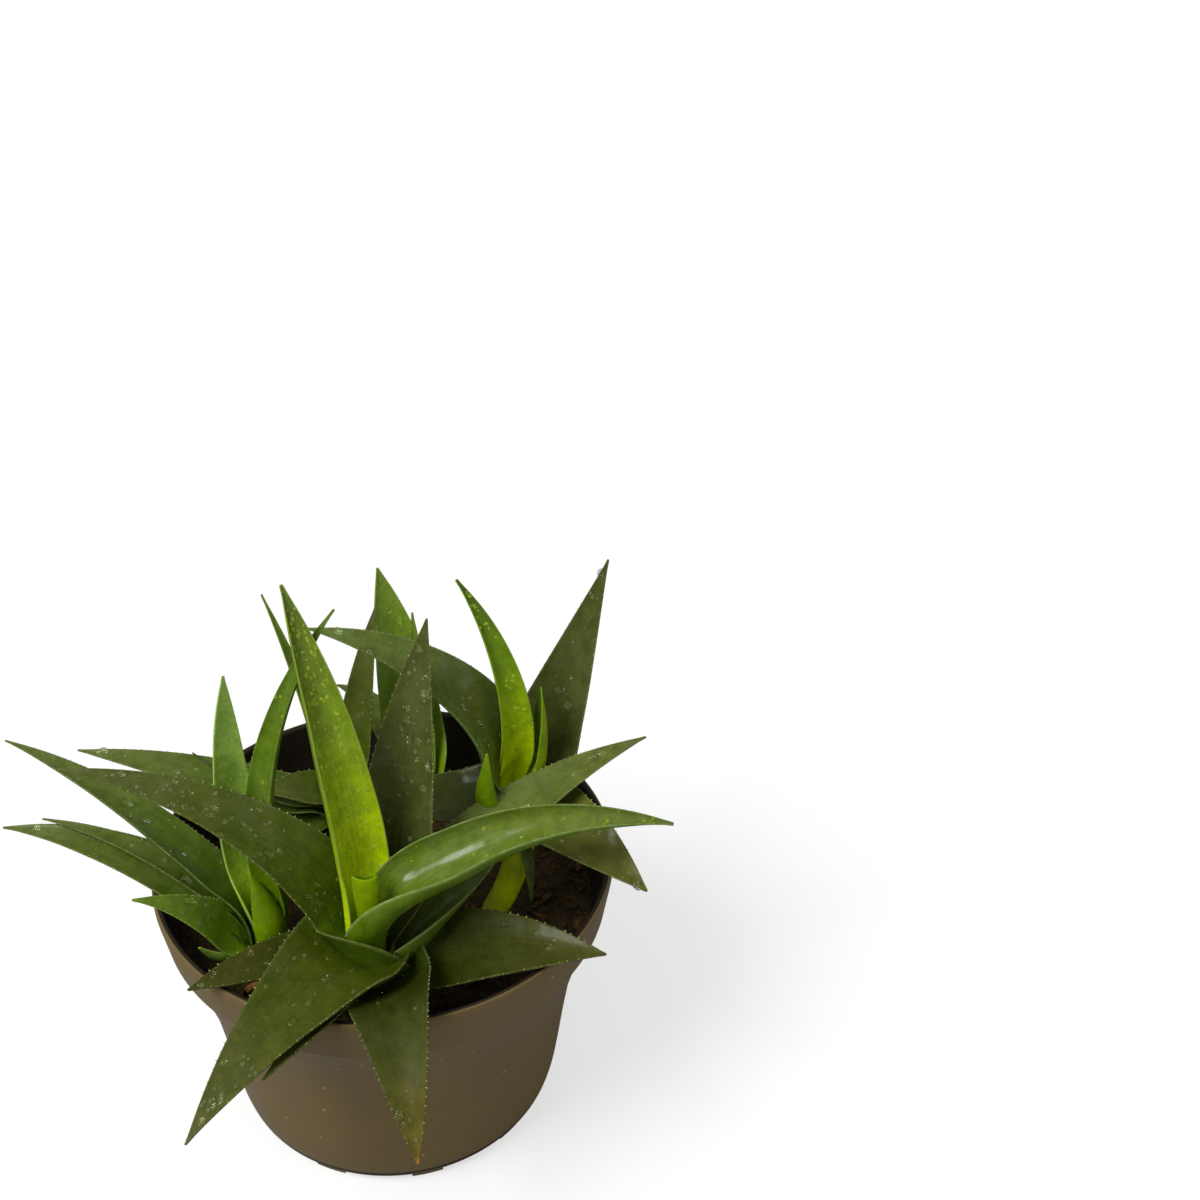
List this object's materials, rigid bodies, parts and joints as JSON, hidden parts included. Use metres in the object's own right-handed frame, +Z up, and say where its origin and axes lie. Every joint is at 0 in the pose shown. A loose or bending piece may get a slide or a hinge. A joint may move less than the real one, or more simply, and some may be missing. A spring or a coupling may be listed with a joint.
{
  "type": "potted aloe vera",
  "caption": "Clumping young aloe vera with channelled, tapering leaves in a round tapered plastic nursery pot with a plain collar.",
  "frame": {"origin": "on the pot's axis at the standing plane, at the middle of the small pad under the pot's floor", "axes": "+Z up along the pot's axis, -Y towards the plant's front, +X to the right seen from the front"},
  "size_m": [0.2107, 0.2074, 0.2052],
  "materials": {
    "pot_plastic": "satin brown-black moulded plastic, faintly dusty",
    "soil": "damp dark potting mix of peat and bark crumbs",
    "stem": "smooth yellow-green stem",
    "young_leaf": "fresh yellow-green skin with a waxy sheen",
    "mid_leaf": "green skin with a waxy sheen",
    "old_leaf": "dark olive skin with a waxy sheen and small pale teeth along its edges"
  },
  "bodies": {
    "root": {"pot": "pot_plastic", "soil": "soil", "stem_main": "stem", "stem_left": "stem", "stem_back_left": "stem", "stem_back": "stem", "stem_right": "stem", "leaf_main_bud": "young_leaf", "leaf_main_tall": "young_leaf", "leaf_main_right_young": "young_leaf", "leaf_main_back": "old_leaf", "leaf_main_right_back": "mid_leaf", "leaf_main_left": "old_leaf", "leaf_main_front_left": "old_leaf", "leaf_main_front": "old_leaf", "leaf_main_right_low": "old_leaf", "leaf_main_left_low": "old_leaf", "leaf_main_under": "old_leaf", "leaf_left_upright": "young_leaf", "leaf_left_curved": "young_leaf", "leaf_left_long": "mid_leaf", "leaf_left_outer_upper": "old_leaf", "leaf_left_outer": "old_leaf", "leaf_left_low": "young_leaf", "leaf_left_bud": "young_leaf", "leaf_left_short": "young_leaf", "leaf_back_left_upright": "young_leaf", "leaf_back_left_dark": "old_leaf", "leaf_back_left_bud": "mid_leaf", "leaf_back_left_side": "mid_leaf", "leaf_back_left_short": "old_leaf", "leaf_back_left_lower": "old_leaf", "leaf_back_left_long": "old_leaf", "leaf_back_tall": "young_leaf", "leaf_back_bud": "young_leaf", "leaf_back_outer": "old_leaf", "leaf_right_tall": "young_leaf", "leaf_right_sheath": "young_leaf", "leaf_right_arching": "mid_leaf", "leaf_right_back": "old_leaf", "leaf_right_bud": "young_leaf", "leaf_right_inner": "old_leaf", "leaf_right_drooping": "old_leaf", "leaf_right_small": "old_leaf"}
  },
  "joints": []
}
